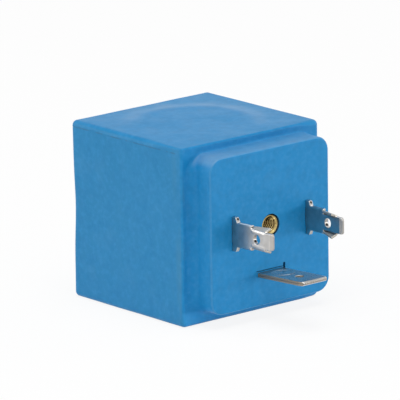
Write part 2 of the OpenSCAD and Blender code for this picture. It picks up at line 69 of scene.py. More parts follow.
# Cup behind the skin
CAVITY_X = 15.05
CAVITY_Y = 14.1
CAVITY_R = 0.8
CEILING_Z = 30.8
CLIP_POCKET_R = 7.45
CLIP_POCKET_Z = 31.9

# Terminal pad and the tunnel behind it
FRONT_Y = -15.95
FACE_Y = -21.2
PAD_X = 28.9
PAD_Z = 29.7
PAD_MID_Z = 17.55
PAD_CORNER_R = 2.8
PAD_EDGE_R = 0.4
SIDE_FILLET_R = 1.9
TOP_FILLET_R = 0.45
FILLET_CHANGE_Z = (29, 32.5)
TUNNEL_Y = -19.4
TUNNEL_X = 25.3
TUNNEL_Z = 26.1
TUNNEL_R = 0.8

# Plug face
PLUG_Z = 17.7
LINE_X = 9.0
EARTH_Z = 8.7
FIT = 0.05

# Line blades
BLADE_T = 0.8
LINE_L = 11.18
EAR_H = 6.48
EAR_L = 1.0
EAR_RUN = 0.6
LINE_H = 4.8
TIP_H = 3.1
TIP_CUT = 0.35
TIP_BEVEL = 0.85
LIP_START = 5.4
LIP_L = 3.6
LIP_BEND = math.radians(70)
LIP_DEPTH = 1.6
LIP_SLANT = 0.8
LIP_T = 0.4
LIP_BEND_R = 0.6
LIP_RELIEF = 0.12
FOLD_H = 3.8
UPPER_TAPER = 0.22
LOWER_TAPER = -0.1
LINE_HOLE_R = 0.9
LINE_HOLE_AT = 6.8
TAIL_H = 3.2
TAIL_L = 9.3
SHEAR_R = 0.15
BLADE_EDGE_R = 0.09
BEVEL_PAST_END = 1.2
TUCK = 0.3
SEAM_W = 0.06
LINE_SEAM = 0.04
NECK_ROLL = 0.24
LIP_FILLET = 0.12
LINE_HOLE_ROLL = 0.06
LINE_RISE = math.tan(math.radians(2))
LINE_TURN = {-1: 0.0, 1: 0.09}

# Earth blade
EARTH_W = 6.3
EARTH_L = 12.36
EARTH_CUT = 0.3
EARTH_CUT_L = 1.1
EARTH_BEVEL = 0.45
EARTH_RISE = math.tan(math.radians(3))
EARTH_HOLE_R = 0.8
EARTH_HOLE_AT = 7.9
EARTH_HOLE_ROLL = 0.1
EARTH_SEAM = 0.12
RING_R = 2.1
RING_AT = 3.3
RING_H = 0.12
RING_W = 0.17
GROOVE_X = 3.6
GROOVE_Z = 9.42
GROOVE_W = 0.17
GROOVE_DEPTH = 0.4
NOTCH_H = 1.0
NOTCH_DEPTH = 0.45
NOTCH_X = (2.92, 3.48)
FOOT_Y = -14.0
FOOT_H = 4.4
RIVET_R = 1.05

# Screw insert
INSERT_FACE = -20.95
NOSE_R = 1.95
NOSE_GAP = 0.2
NOSE_L = 1.55
INSERT_R = 2.5
INSERT_GROOVE = 0.35
INSERT_LANDS = 5
INSERT_CHAMFER = 0.1
INSERT_L = 6.8
MOUTH_R = 1.68
THREAD_R = 1.25
THREAD_DEPTH = 0.25
THREAD_PITCH = 0.5


# Distance fields: negative inside, in millimetres, for many points at once
def length(*parts):
    return np.sqrt(sum(part * part for part in parts))


def corner(u, v, r):
    """Distance to a corner made by two faces, rounded with radius r."""
    u, v = u + r, v + r
    return length(np.maximum(u, 0), np.maximum(v, 0)) + np.minimum(np.maximum(u, v), 0) - r


def weld(a, b, r):
    """Both shapes, joined with a hollow fillet of radius r."""
    return np.maximum(r, np.minimum(a, b)) - length(np.maximum(r - a, 0), np.maximum(r - b, 0))


def cut(a, b, r):
    """Shape a without shape b, with the rim rounded by r."""
    return -weld(-a, b, r)


def round_rect(u, v, width, height, r):
    return corner(np.abs(u) - width / 2, np.abs(v) - height / 2, r)


def polygon(u, v, points):
    """Distance to a closed polygon."""
    best = np.full(u.shape, np.inf)
    flips = np.zeros(u.shape, bool)
    for (u0, v0), (u1, v1) in zip(points, points[1:] + points[:1]):
        du, dv = u1 - u0, v1 - v0
        t = np.clip(((u - u0) * du + (v - v0) * dv) / (du * du + dv * dv), 0, 1)
        best = np.minimum(best, length(u - u0 - t * du, v - v0 - t * dv))
        spans = (v0 > v) != (v1 > v)
        if dv:
            flips ^= spans & (u < u0 + (v - v0) * du / dv)
    return np.where(flips, -best, best)


def polyline(u, v, points):
    """Distance to an open line."""
    best = np.full(u.shape, np.inf)
    for (u0, v0), (u1, v1) in zip(points, points[1:]):
        du, dv = u1 - u0, v1 - v0
        t = np.clip(((u - u0) * du + (v - v0) * dv) / (du * du + dv * dv), 0, 1)
        best = np.minimum(best, length(u - u0 - t * du, v - v0 - t * dv))
    return best


def smooth(value, low, high):
    t = np.clip((value - low) / (high - low), 0, 1)
    return t * t * (3 - 2 * t)


def hump(value, width):
    return np.exp(-(value / width) ** 2)


# Meshes from distance fields
def ruler(start, *spans):
    """Grid lines along one axis: each span runs from the last one's end to its own, at its own step."""
    marks = [np.array([start])]
    for end, step in spans:
        count = max(1, round((end - start) / step))
        marks.append(np.linspace(start, end, count + 1)[1:])
        start = end
    return np.concatenate(marks)


def settle(points, field, rounds=4, nudge=0.01):
    """Moves points along the field's slope until they lie on the surface."""
    for _ in range(rounds):
        slope = np.stack([
            (field(points + step) - field(points - step)) / (2 * nudge)
            for step in np.eye(3) * nudge], 1)
        steep = np.maximum((slope * slope).sum(1), 0.25)
        move = slope * (field(points) / steep)[:, None]
        points = points - np.clip(move, -0.1, 0.1)
    return points


def skin(name, field, *rulers):
    """Mesh on the surface of a field: one point in each grid cell that the surface crosses."""
    grid = np.stack(np.meshgrid(*rulers, indexing="ij"), -1)
    value = field(grid.reshape(-1, 3)).reshape(grid.shape[:3])
    inside = value < 0
    cells = tuple(len(marks) - 1 for marks in rulers)
    total = np.zeros(cells + (3,))
    count = np.zeros(cells)
    crossings = []
    for axis in range(3):
        first = [slice(None)] * 3
        last = [slice(None)] * 3
        first[axis] = slice(None, -1)
        last[axis] = slice(1, None)
        first, last = tuple(first), tuple(last)
        crosses = inside[first] != inside[last]
        gap = np.where(crosses, value[first] - value[last], 1)
        share = np.where(crosses, value[first] / gap, 0)[..., None]
        point = (grid[first] + share * (grid[last] - grid[first])) * crosses[..., None]
        across = [(axis + 1) % 3, (axis + 2) % 3]
        for du in (0, 1):
            for dv in (0, 1):
                part = [slice(None)] * 3
                part[across[0]] = slice(du, cells[across[0]] + du)
                part[across[1]] = slice(dv, cells[across[1]] + dv)
                total += point[tuple(part)]
                count += crosses[tuple(part)]
        crossings.append((axis, across, crosses, inside[first]))
    used = count > 0
    index = np.full(cells, -1)
    index[used] = np.arange(used.sum())
    points = settle(total[used] / count[used][:, None], field)
    quads = []
    for axis, across, crosses, starts_inside in crossings:
        where = np.argwhere(crosses)
        around = []
        for du, dv in ((-1, -1), (0, -1), (0, 0), (-1, 0)):
            cell = where.copy()
            cell[:, across[0]] += du
            cell[:, across[1]] += dv
            around.append(index[tuple(cell.T)])
        quad = np.stack(around, 1)
        turned = ~starts_inside[crosses]
        quad[turned] = quad[turned][:, ::-1]
        quads.append(quad)
    return new_piece(name, points, np.concatenate(quads).tolist())


def new_piece(name, points, faces):
    """Object from points in millimetres, shaded smooth up to its sharp edges."""
    mesh = bpy.data.meshes.new(name)
    mesh.from_pydata((np.asarray(points) * MM).tolist(), [], faces)
    mesh.validate()
    piece = bpy.data.objects.new(name, mesh)
    bpy.context.scene.collection.objects.link(piece)
    soften(piece)
    return piece


def soften(piece, angle=40):
    piece.data.polygons.foreach_set("use_smooth", [True] * len(piece.data.polygons))
    piece.data.set_sharp_from_angle(angle=math.radians(angle))


def stands_for(piece, node, slot):
    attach(piece, "root")
    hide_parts(node)
    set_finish(piece, slot)


# Casing
def top_relief(x, y):
    """Height of the top's low swell and the faint hollow around it. Both fade out at the front left."""
    back = smooth(x + y, *SWELL_FADE)
    foot = SWELL_FOOT * smooth(np.maximum(np.abs(x), np.abs(y)), *FOOT_FADE)
    slope = smooth(length(x, y), SWELL_R, SWELL_R + SWELL_RUN)
    return back * (SWELL_H - (SWELL_H + foot) * slope)


def edge_radius(x, y, z):
    """Radius of the block's edges, crisper at the near edges and blunter at the lower right."""
    near = smooth(-x, 6, 13) * smooth(-y, 6, 13) * smooth(z, 0.5, 4)
    front = smooth(-y, 12, 15) * smooth(z, 27, 31) * smooth(-x, -15, -11)
    blunt = smooth(x, 12.5, 16) * smooth(-y, 9, 15) * smooth(-z, -6, -2)
    waver = EDGE_WAVER * np.sin(0.5 * x + 0.3 * z) * np.sin(0.4 * y - 0.2 * z)
    return EDGE_R - CRISP_LESS * np.maximum(near, front) + BLUNT_MORE * blunt + waver


def block_field(x, y, z):
    """Block with soft edges, the swell, slightly sunken sides and a thin moulding flash below the top."""
    half_x, half_y, half_z = (size / 2 for size in BODY)
    r = edge_radius(x, y, z)
    lifted = z - top_relief(x, y) * smooth(z, 27, 32)
    ragged = np.clip(0.6 + 0.5 * np.sin(1.7 * (x + y)) + 0.5 * np.sin(0.63 * (y - x) + 1), 0, 1)
    flash = SKIN_INSET * hump(z - FLASH_Z, FLASH_W) * ragged * (y > FRONT_Y + 0.5)
    sink = SINK_DEPTH * hump(z - SINK_MID_Z, SINK_REACH) * smooth(y, FRONT_Y, half_y)
    sunken = SKIN_INSET - flash + sink
    sides = [
        np.abs(x) - half_x + sunken + r,
        np.abs(y) - half_y + sunken + r,
        np.abs(lifted - half_z) - half_z + r]
    out = length(*[np.maximum(side, 0) for side in sides])
    return out + np.minimum(np.maximum.reduce(sides), 0) - r


def casing_field(p):
    x, y, z = p.T
    pad = corner(
        round_rect(x, z - PAD_MID_Z, PAD_X, PAD_Z, PAD_CORNER_R),
        np.maximum(FACE_Y - y, y), PAD_EDGE_R)
    fillet = SIDE_FILLET_R + (TOP_FILLET_R - SIDE_FILLET_R) * smooth(z, *FILLET_CHANGE_Z)
    outside = weld(block_field(x, y, z), pad + SKIN_INSET / 2, fillet)
    cup = np.maximum(round_rect(x, y, 2 * CAVITY_X, 2 * CAVITY_Y, CAVITY_R), z - CEILING_Z)
    clip = np.maximum(length(x, y) - CLIP_POCKET_R, z - CLIP_POCKET_Z)
    tunnel = np.maximum(
        round_rect(x, z - PAD_MID_Z, TUNNEL_X, TUNNEL_Z, TUNNEL_R),
        np.maximum(TUNNEL_Y - y, y))
    hollow = np.minimum(np.minimum(cup, clip), tunnel)
    return np.maximum(outside, -hollow)


def box_cutter(low, high):
    bm = bmesh.new()
    bmesh.ops.create_cube(bm, size=1)
    low, high = Vector(low) * MM, Vector(high) * MM
    for vertex in bm.verts:
        vertex.co = Vector(a + (b - a) * (c + 0.5) for a, b, c in zip(low, high, vertex.co))
    return cutter_object(bm)


def round_cutter(x, z, r, y0, y1):
    bm = bmesh.new()
    bmesh.ops.create_cone(
        bm, cap_ends=True, segments=64, radius1=r * MM, radius2=r * MM, depth=(y1 - y0) * MM)
    middle = Vector((x, (y0 + y1) / 2, z)) * MM
    bm.transform(Matrix.Translation(middle) @ Matrix.Rotation(math.pi / 2, 4, "X"))
    return cutter_object(bm)


def cutter_object(bm):
    mesh = bpy.data.meshes.new("cutter")
    bm.to_mesh(mesh)
    bm.free()
    cutter = bpy.data.objects.new("cutter", mesh)
    bpy.context.scene.collection.objects.link(cutter)
    return cutter


def carve(piece, cutters):
    """Takes the cutters' shapes out of a piece and deletes them."""
    for cutter in cutters:
        modifier = piece.modifiers.new("cut", "BOOLEAN")
        modifier.operation = "DIFFERENCE"
        modifier.solver = "EXACT"
        modifier.object = cutter
    carved = bpy.data.meshes.new_from_object(
        piece.evaluated_get(bpy.context.evaluated_depsgraph_get()))
    carved.name = piece.name
    piece.modifiers.clear()
    piece.data = carved
    for cutter in cutters:
        bpy.data.objects.remove(cutter)
    soften(piece)


def make_casing():
    """Casing on a grid that is close near edges and wide on flat faces, with the plug face's openings."""
    close, wide, past = 0.2, 0.7, 0.5
    side = ruler(-16.9, (-12.6, close), (12.6, wide), (16.9, close))
    deep = ruler(
        -21.6, (-20.2, 0.15), (-19.0, close), (-17.9, 0.4), (-13.2, close), (13.2, wide), (16.1, close))
    high = ruler(-0.4, (6.2, close), (28.6, wide), (32.4, close), (33.4, 0.09), (34.6, 0.15))
    casing = skin("coil_casing", casing_field, side, deep, high)
    behind, ahead = TUNNEL_Y + past, FACE_Y - past
    half_t, half_tail, half_w = BLADE_T / 2, TAIL_H / 2 + FIT, EARTH_W / 2
    cutters = [round_cutter(0, PLUG_Z, NOSE_R + NOSE_GAP, ahead, behind)]
    for s in (-1, 1):
        cutters.append(box_cutter(
            (s * LINE_X - half_t - FIT, ahead, PLUG_Z - half_tail),
            (s * LINE_X + half_t + FIT, behind, PLUG_Z + half_tail)))
    cutters.append(box_cutter(
        (-half_w - FIT, ahead, EARTH_Z - half_t - FIT),
        (half_w + FIT, behind, EARTH_Z + half_t + FIT)))
    cutters.append(box_cutter(
        (-GROOVE_X, ahead, GROOVE_Z - GROOVE_W / 2),
        (NOTCH_X[0], FACE_Y + GROOVE_DEPTH, GROOVE_Z + GROOVE_W / 2)))
    cutters.append(box_cutter(
        (NOTCH_X[0], ahead, EARTH_Z),
        (NOTCH_X[1], FACE_Y + NOTCH_DEPTH, EARTH_Z + half_t + NOTCH_H)))
    carve(casing, cutters)
    stands_for(casing, "casing", "casing_blue")
    return casing


# Line blades
def seam(thick, depth):
    """Depth of the joint line between a blade's two layers, at a distance from its middle."""
    return depth * hump(thick, SEAM_W)


def tapered(along, end, bevel):
    """Half thickness of a blade along its length. The bevel takes a third of the blade off each side."""
    run = np.clip((along - end + bevel) / bevel, 0, BEVEL_PAST_END)
    return BLADE_T / 2 - run * BLADE_T / 3


def line_field(side):
    """Blade with root ears and two lips folded towards the middle of the plug."""
    inset = SHEAR_R
    half_ear, half_neck, half_tip = EAR_H / 2 - inset, LINE_H / 2 - inset, TIP_H / 2 - inset
    across, rising = math.sin(LIP_BEND), math.cos(LIP_BEND)
    bend_h = FOLD_H / 2 - LIP_BEND_R * math.tan(LIP_BEND / 2)
    neck_end, lip_end = LIP_START - LIP_RELIEF - inset, LIP_START + LIP_L

    def edge(taper):
        return [
            (inset - TAIL_L, TAIL_H / 2 - inset), (inset, TAIL_H / 2 - inset), (inset, half_ear),
            (EAR_L - inset / 2, half_ear), (EAR_L + EAR_RUN - inset / 2, half_neck), (neck_end, half_neck),
            (neck_end, FOLD_H / 2 - inset), (LIP_START - inset, FOLD_H / 2 - inset),
            (LIP_START - inset, bend_h - inset), (lip_end + inset, bend_h - taper - inset),
            (lip_end + inset, half_tip), (LINE_L - TIP_CUT - inset / 2, half_tip),
            (LINE_L - inset, half_tip - TIP_CUT + inset / 2)]

    outline = edge(UPPER_TAPER) + [(u, -v) for u, v in reversed(edge(LOWER_TAPER))]
    mid_r = LIP_BEND_R - LIP_T / 2
    turns = np.linspace(0, LIP_BEND, 7)
    fold = [(LIP_BEND_R - mid_r * math.cos(a), bend_h + mid_r * math.sin(a)) for a in turns]
    edge_d = LIP_DEPTH + LIP_T / 2 * rising
    edge_h = fold[-1][1] + (edge_d - fold[-1][0]) * rising / across
    strip_line = [(LIP_T / 2, bend_h - TUCK), *fold, (edge_d + across, edge_h + rising)]

    def field(p):
        along = FACE_Y - p[:, 1]
        tall = p[:, 2] - PLUG_Z
        deep = LINE_X + BLADE_T / 2 - side * p[:, 0]
        thick = np.abs(deep - BLADE_T / 2)
        neck = smooth(along, EAR_L, EAR_L + EAR_RUN) * smooth(along, LIP_START, LIP_START - 0.4)
        flat = polygon(along, tall, outline) - inset + seam(thick, LINE_SEAM)
        plate = corner(flat, thick - tapered(along, LINE_L, TIP_BEVEL), BLADE_EDGE_R + NECK_ROLL * neck)
        taper = np.where(tall > 0, UPPER_TAPER, LOWER_TAPER)
        lip_h = np.abs(tall) + taper * np.clip((along - LIP_START) / LIP_L, 0, 1)
        strip = polyline(deep, lip_h, strip_line) - LIP_T / 2
        slant = LIP_SLANT * np.clip((lip_end - along) / LIP_L, 0, 1)
        past_edge = (deep - edge_d) * across + (lip_h - edge_h) * rising + slant
        strip = corner(strip, past_edge, BLADE_EDGE_R)
        lips = corner(strip, np.abs(along - (LIP_START + lip_end) / 2) - LIP_L / 2, BLADE_EDGE_R)
        hole = length(along - LINE_HOLE_AT, tall) - LINE_HOLE_R
        return cut(weld(plate, lips, LIP_FILLET), hole, LINE_HOLE_ROLL)

    return field


def lean(piece, sideways, upward):
    """Shifts a blade more and more with its distance from the pad."""
    for vertex in piece.data.vertices:
        out = max(FACE_Y * MM - vertex.co.y, 0)
        vertex.co.x += sideways * out
        vertex.co.z += upward * out


def make_line_blade(name, node, side):
    """Line blade on a grid that is close outside the pad and wide along the hidden tail."""
    margin, close, wide = 0.25, 0.1, 0.6
    deep = ruler(-margin, (0.25, 0.07), (0.55, 0.05), (2.05, 0.08))
    x = np.sort(side * (LINE_X + BLADE_T / 2 - deep))
    y = ruler(FACE_Y - LINE_L - 0.3, (FACE_Y + 0.4, close), (FACE_Y + TAIL_L + 0.4, wide))
    z = PLUG_Z + ruler(-EAR_H / 2 - margin, (EAR_H / 2 + margin, close))
    blade = skin(name, line_field(side), x, y, z)
    lean(blade, -side * LINE_TURN[side], LINE_RISE)
    stands_for(blade, node, "tinned_blade")
    return blade


# Earth blade
def earth_field(p):
    """Blade with an embossed ring and a small hole, and behind the pad its root and riveted foot."""
    x, y, z = p.T
    along, up = FACE_Y - y, z - EARTH_Z
    inset = SHEAR_R
    half = EARTH_W / 2 - inset
    tip = EARTH_L - inset
    outline = [
        (-half, -TUCK), (-half, tip - EARTH_CUT_L), (EARTH_CUT - half, tip),
        (half - EARTH_CUT, tip), (half, tip - EARTH_CUT_L), (half, -TUCK)]
    bead = RING_H * hump(length(x, along - RING_AT) - RING_R, RING_W) * (up > 0)
    flat = polygon(x, along, outline) - inset + seam(up, EARTH_SEAM)
    plate = corner(flat, np.abs(up) - bead - tapered(along, EARTH_L, EARTH_BEVEL), BLADE_EDGE_R)
    hole = length(x, along - EARTH_HOLE_AT) - EARTH_HOLE_R
    blade = cut(plate, hole, EARTH_HOLE_ROLL)
    wide = np.abs(x) - EARTH_W / 2
    root = np.maximum(np.maximum(wide, np.abs(up) - BLADE_T / 2), np.maximum(FACE_Y - y, y - FOOT_Y))
    foot = np.maximum(
        np.maximum(wide, np.maximum(-up - BLADE_T / 2, up - BLADE_T / 2 - FOOT_H)),
        np.maximum(FOOT_Y - BLADE_T - y, y - FOOT_Y))
    rivet = length(x, up - BLADE_T / 2 - FOOT_H / 2) - RIVET_R
    return np.minimum(blade, np.minimum(root, np.maximum(foot, -rivet)))


def make_earth_blade():
    """Earth blade on a grid that is close outside the pad and wide along the hidden root."""
    margin, close, wide = 0.25, 0.09, 0.6
    x = ruler(-EARTH_W / 2 - margin, (EARTH_W / 2 + margin, close))
    y = ruler(FACE_Y - EARTH_L - 0.3, (FACE_Y + 0.5, close), (FOOT_Y - 1.1, wide), (FOOT_Y + 0.3, 0.2))
    z = EARTH_Z + ruler(-0.65, (1.2, 0.055), (BLADE_T + FOOT_H + 0.3, 0.25))
    blade = skin("earth_blade", earth_field, x, y, z)
    lean(blade, 0, EARTH_RISE)
    stands_for(blade, "earth_terminal", "earth_blade")
    return blade


# Screw insert
def make_insert():
    """Turned brass insert: each column of points runs over the outside and back down the threaded bore."""
    land = (INSERT_L - NOSE_L) / INSERT_LANDS
    outside = []
    for i in range(INSERT_LANDS):
        r = INSERT_R - (i % 2) * INSERT_GROOVE
        outside += [(r, INSERT_L - i * land), (r, INSERT_L - (i + 1) * land)]
    outside += [(NOSE_R, NOSE_L), (NOSE_R, INSERT_CHAMFER), (NOSE_R - INSERT_CHAMFER, 0), (MOUTH_R, 0)]
    turns = np.arange(MOUTH_R - THREAD_R - THREAD_DEPTH / 2, INSERT_L, THREAD_PITCH / 10)
    columns = 80
    rings = []
    for column in range(columns):
        angle = 2 * math.pi * column / columns
        across, up = math.cos(angle), math.sin(angle)
        phase = turns / THREAD_PITCH + column / columns
        ridge = np.clip(1.25 - 2.5 * np.abs(phase % 1 - 0.5), 0, 1)
        mouth = MOUTH_R - turns
        bore = np.maximum(THREAD_R + THREAD_DEPTH * (1 - ridge), mouth)
        profile = outside + list(zip(bore, turns)) + [(float(bore[-1]), INSERT_L)]
        rings.append([(r * across, INSERT_FACE + at, PLUG_Z + r * up) for r, at in profile])
    count = len(rings[0])
    points = [point for ring in rings for point in ring]
    faces = []
    for column in range(columns):
        here, there = column * count, (column + 1) % columns * count
        for i in range(count):
            j = (i + 1) % count
            faces.append((here + i, there + i, there + j, here + j))
    insert = new_piece("screw_insert", points, faces)
    bm = bmesh.new()
    bm.from_mesh(insert.data)
    bmesh.ops.recalc_face_normals(bm, faces=bm.faces)
    bm.to_mesh(insert.data)
    bm.free()
    stands_for(insert, "thread_insert", "insert_brass")
    return insert


# Materials
class Paint:
    """A material and short calls that add nodes to it. Coordinates are the object's own, in metres."""

    def __init__(self, name, **sockets):
        self.material = bpy.data.materials.new(name)
        self.material.use_nodes = True
        self.tree = self.material.node_tree
        self.tree.nodes.clear()
        self.shader = self.add("BsdfPrincipled", **sockets)
        self.add("OutputMaterial", Surface=self.shader.outputs["BSDF"])
        self.place = self.add("TexCoord").outputs["Object"]

    def add(self, kind, settings=None, **inputs):
        made = self.tree.nodes.new("ShaderNode" + kind)
        for key, value in (settings or {}).items():
            setattr(made, key, value)
        for key, value in inputs.items():
            self.plug(made.inputs[key.replace("_", " ")], value)
        return made

    def plug(self, socket, value):
        if isinstance(value, bpy.types.NodeSocket):
            self.tree.links.new(value, socket)
        else:
            socket.default_value = value

    def set(self, socket, value):
        self.plug(self.shader.inputs[socket], value)

    def noise(self, size, detail=3.0, stretch=(1, 1, 1), shift=0.0, rough=0.5):
        """Cloudy values from 0 to 1, with features of about the given size in millimetres."""
        moved = self.add("Mapping", Vector=self.place, Scale=stretch, Location=(shift, shift, shift))
        made = self.add(
            "TexNoise", Vector=moved.outputs[0], Scale=1 / (size * MM), Detail=detail, Roughness=rough)
        return made.outputs["Fac"]

    def mottle(self, size, detail=3.0, shift=0.0, start=0.0, end=1.0):
        """Soft patches of about the given size in millimetres, with values from start to end."""
        return self.fade(self.noise(size, detail, shift=shift), 0.3, 0.7, start, end)

    def axis(self, name):
        return self.add("SeparateXYZ", Vector=self.place).outputs[name]

    def radius(self, x, z):
        """Distance from a line along Y, through a place given in millimetres."""
        off_x = self.math("SUBTRACT", self.axis("X"), x * MM)
        off_z = self.math("SUBTRACT", self.axis("Z"), z * MM)
        return self.math("SQRT", self.math("ADD", self.times(off_x, off_x), self.times(off_z, off_z)))

    def off(self, value, place):
        """Distance of a length from a place in millimetres, to either side."""
        return self.math("ABSOLUTE", self.math("SUBTRACT", value, place * MM))

    def facing(self, axis):
        """How much the surface looks along an axis, from -1 to 1."""
        normal = self.add("NewGeometry").outputs["Normal"]
        return self.add("SeparateXYZ", Vector=normal).outputs[axis]

    def fade(self, value, low, high, start=0.0, end=1.0):
        """Smooth step of a value from start at low to end at high."""
        made = self.add(
            "MapRange", {"interpolation_type": "SMOOTHSTEP"},
            Value=value, From_Min=low, From_Max=high, To_Min=start, To_Max=end)
        return made.outputs[0]

    def step(self, value, low, high, start=0.0, end=1.0):
        """Smooth step of a length between limits in millimetres."""
        return self.fade(value, low * MM, high * MM, start, end)

    def math(self, operation, a, b=0.0):
        made = self.add("Math", {"operation": operation})
        self.plug(made.inputs[0], a)
        self.plug(made.inputs[1], b)
        return made.outputs[0]

    def times(self, product, *factors):
        for factor in factors:
            product = self.math("MULTIPLY", product, factor)
        return product

    def blend(self, share, a, b):
        made = self.add("Mix", {"data_type": "RGBA"})
        self.plug(made.inputs["Factor"], share)
        self.plug(made.inputs[6], a)
        self.plug(made.inputs[7], b)
        return made.outputs[2]

    def bump(self, height, depth, strength=1.0):
        """Raises the surface by a height pattern, with its depth in millimetres."""
        made = self.add("Bump", Height=height, Distance=depth * MM, Strength=strength)
        self.set("Normal", made.outputs[0])


def rgb(r, g, b):
    return (r, g, b, 1.0)


def rougher(paint, roughness, mask, more):
    """Roughness with an amount added where the mask is 1."""
    return paint.math("ADD", roughness, paint.times(mask, more))


def from_bore(paint):
    """Distance from the bore's axis."""
    level = paint.add("CombineXYZ", X=paint.axis("X"), Y=paint.axis("Y")).outputs[0]
    away = paint.add("VectorMath", {"operation": "LENGTH"})
    paint.plug(away.inputs[0], level)
    return away.outputs["Value"]


def swollen(paint):
    """1 on the top where the swell and its hollow are at full size, 0 where they have faded out."""
    level = paint.math("ADD", paint.axis("X"), paint.axis("Y"))
    return paint.times(paint.step(level, *SWELL_FADE), paint.step(paint.axis("Z"), *TOP_SKIN_Z))


def dust_and_highlight(paint):
    """Pale film in the hollow around the swell and on the pad's upper ledge, partly dust and partly painted
    highlight: it fades out towards the front left and lies on faces that look up.
    """
    hollow = paint.times(paint.step(from_bore(paint), 8.5, 12.5, 0.0, 0.5), swollen(paint))
    upward = paint.fade(paint.facing("Z"), 0.3, 0.75)
    past_front = paint.step(paint.axis("Y"), FRONT_Y + 0.1, FRONT_Y - 0.3)
    more_at_left = paint.step(paint.axis("X"), -7, -13, 1.0, 1.7)
    ledge = paint.times(upward, past_front, more_at_left)
    cloud = paint.fade(paint.noise(4, 4, shift=11.0), 0.25, 0.75, 0.7, 1.15)
    return paint.times(paint.math("ADD", hollow, ledge), cloud)


def polished(paint):
    """1 on the rubbed slope of the swell."""
    slope_r = SWELL_R + SWELL_RUN / 2 + 0.2
    return paint.times(paint.step(paint.off(from_bore(paint), slope_r), 3.4, 0.3), swollen(paint))


def moulded_blue(paint):
    """Cloudy blue, brighter and cleaner on the front and the top and darker and greyer on the sides as
    painted light and shade, with pale grain, dark patches and smudges.
    """
    cloud = paint.mottle(9, 4)
    # Painted shade and light: a darker, greyer blue for the sides and a brighter blue for the front and the
    # top.
    shaded_side_blue = paint.blend(cloud, rgb(0.009, 0.207, 0.44), rgb(0.012, 0.218, 0.465))
    lit_front_blue = paint.blend(cloud, rgb(0.002, 0.216, 0.5), rgb(0.004, 0.228, 0.525))
    front = paint.step(paint.axis("Y"), FRONT_Y + 0.9, FRONT_Y + 0.1)
    on_top = paint.step(paint.axis("Z"), 33.4, 33.9, 0.0, 0.65)
    colour = paint.blend(paint.math("MAXIMUM", front, on_top), shaded_side_blue, lit_front_blue)
    grain = paint.fade(paint.noise(0.9, 3, shift=3.0), 0.4, 0.75, 0.0, 0.5)
    colour = paint.blend(grain, colour, rgb(0.026, 0.26, 0.55))
    patch = paint.fade(paint.noise(1.9, 4, shift=13.0, rough=0.6), 0.42, 0.7, 0.0, 0.45)
    colour = paint.blend(patch, colour, rgb(0.002, 0.178, 0.415))
    smudge = paint.fade(paint.noise(5, 5, shift=7.0, rough=0.65), 0.5, 0.78, 0.0, 0.14)
    return paint.blend(smudge, colour, rgb(0.08, 0.29, 0.52))


def casing_wear(paint, colour):
    """Dust film with painted highlight, worn streaks by the near edge, dirt along the moulding line, a pale
    foot of painted floor light, and a pale pad rim that is partly wear and partly painted highlight.
    """
    x, y, z = paint.axis("X"), paint.axis("Y"), paint.axis("Z")
    # Pale film, partly dust and partly painted highlight.
    colour = paint.blend(paint.times(dust_and_highlight(paint), 0.08), colour, rgb(0.6, 0.62, 0.62))
    streak = paint.fade(paint.noise(2.2, 4, stretch=(1, 1, 0.18), shift=1.0), 0.42, 0.7)
    worn = paint.times(streak, paint.step(y, -11.5, -15.5), paint.step(x, -15.8, -16.3))
    colour = paint.blend(paint.times(worn, 0.4), colour, rgb(0.06, 0.235, 0.37))
    line = paint.step(paint.off(z, FLASH_Z - 0.08), 0.2, 0.06)
    broken = paint.fade(paint.noise(2.5, 3, stretch=(1, 1, 0.1), shift=5.0), 0.42, 0.56)
    behind = paint.step(y, FRONT_Y + 0.2, FRONT_Y + 0.8)
    colour = paint.blend(paint.times(line, broken, behind, 0.5), colour, rgb(0.03, 0.13, 0.24))
    # Painted light: the front's lower strip under the pad is paler, standing in for light bounced up from
    # the floor.
    foot = paint.times(paint.step(z, 3.2, 2.4), paint.step(y, FRONT_Y + 0.7, FRONT_Y + 0.2))
    colour = paint.blend(paint.times(foot, 0.6), colour, rgb(0.035, 0.31, 0.64))
    # The rounded rim of the pad's face is paler, partly wear and partly a painted edge highlight.
    at_face = paint.step(y, FACE_Y + 0.5, FACE_Y + 0.3)
    rim = paint.times(at_face, paint.fade(paint.facing("Y"), -0.97, -0.85))
    return paint.blend(paint.times(rim, 0.12), colour, rgb(0.25, 0.46, 0.66))


def painted_opening_shade(paint, colour):
    """Paints shade on the wall around the insert and on the walls of the earth blade's slot and groove."""
    x, y, z = paint.axis("X"), paint.axis("Y"), paint.axis("Z")
    in_wall = paint.times(
        paint.step(y, FACE_Y + 0.02, FACE_Y + 0.08), paint.step(y, TUNNEL_Y + 0.2, TUNNEL_Y + 0.1))
    recess_r = NOSE_R + NOSE_GAP
    recess_shade = paint.times(paint.step(paint.radius(0, PLUG_Z), recess_r + 0.08, recess_r + 0.02), in_wall)
    # Painted shade on the wall around the insert.
    colour = paint.blend(paint.times(recess_shade, 0.75), colour, rgb(0.016, 0.055, 0.11))
    # Painted shade on the walls of the earth blade's slot, groove and notch.
    between_ends = paint.step(paint.off(x, 0), GROOVE_X + 0.3, GROOVE_X + 0.2)
    slot = paint.times(between_ends, paint.step(paint.off(z, EARTH_Z), 1.8, 1.6), in_wall)
    return paint.blend(paint.times(slot, 0.6), colour, rgb(0.004, 0.03, 0.07))


def casing_blue(name):
    """Satin moulded plastic with wear, dust and dirt, and painted light and shade: a brighter front and
    top, pale highlights, floor light at the foot and shade in the openings.
    """
    paint = Paint(name, Specular_IOR_Level=0.25)
    paint.set("Base Color", painted_opening_shade(paint, casing_wear(paint, moulded_blue(paint))))
    roughness = paint.mottle(4, 4, 2.0, 0.44, 0.52)
    paint.set("Roughness", rougher(paint, roughness, polished(paint), -0.08))
    paint.bump(paint.noise(0.28, 2, shift=9.0), 0.012)
    return paint.material


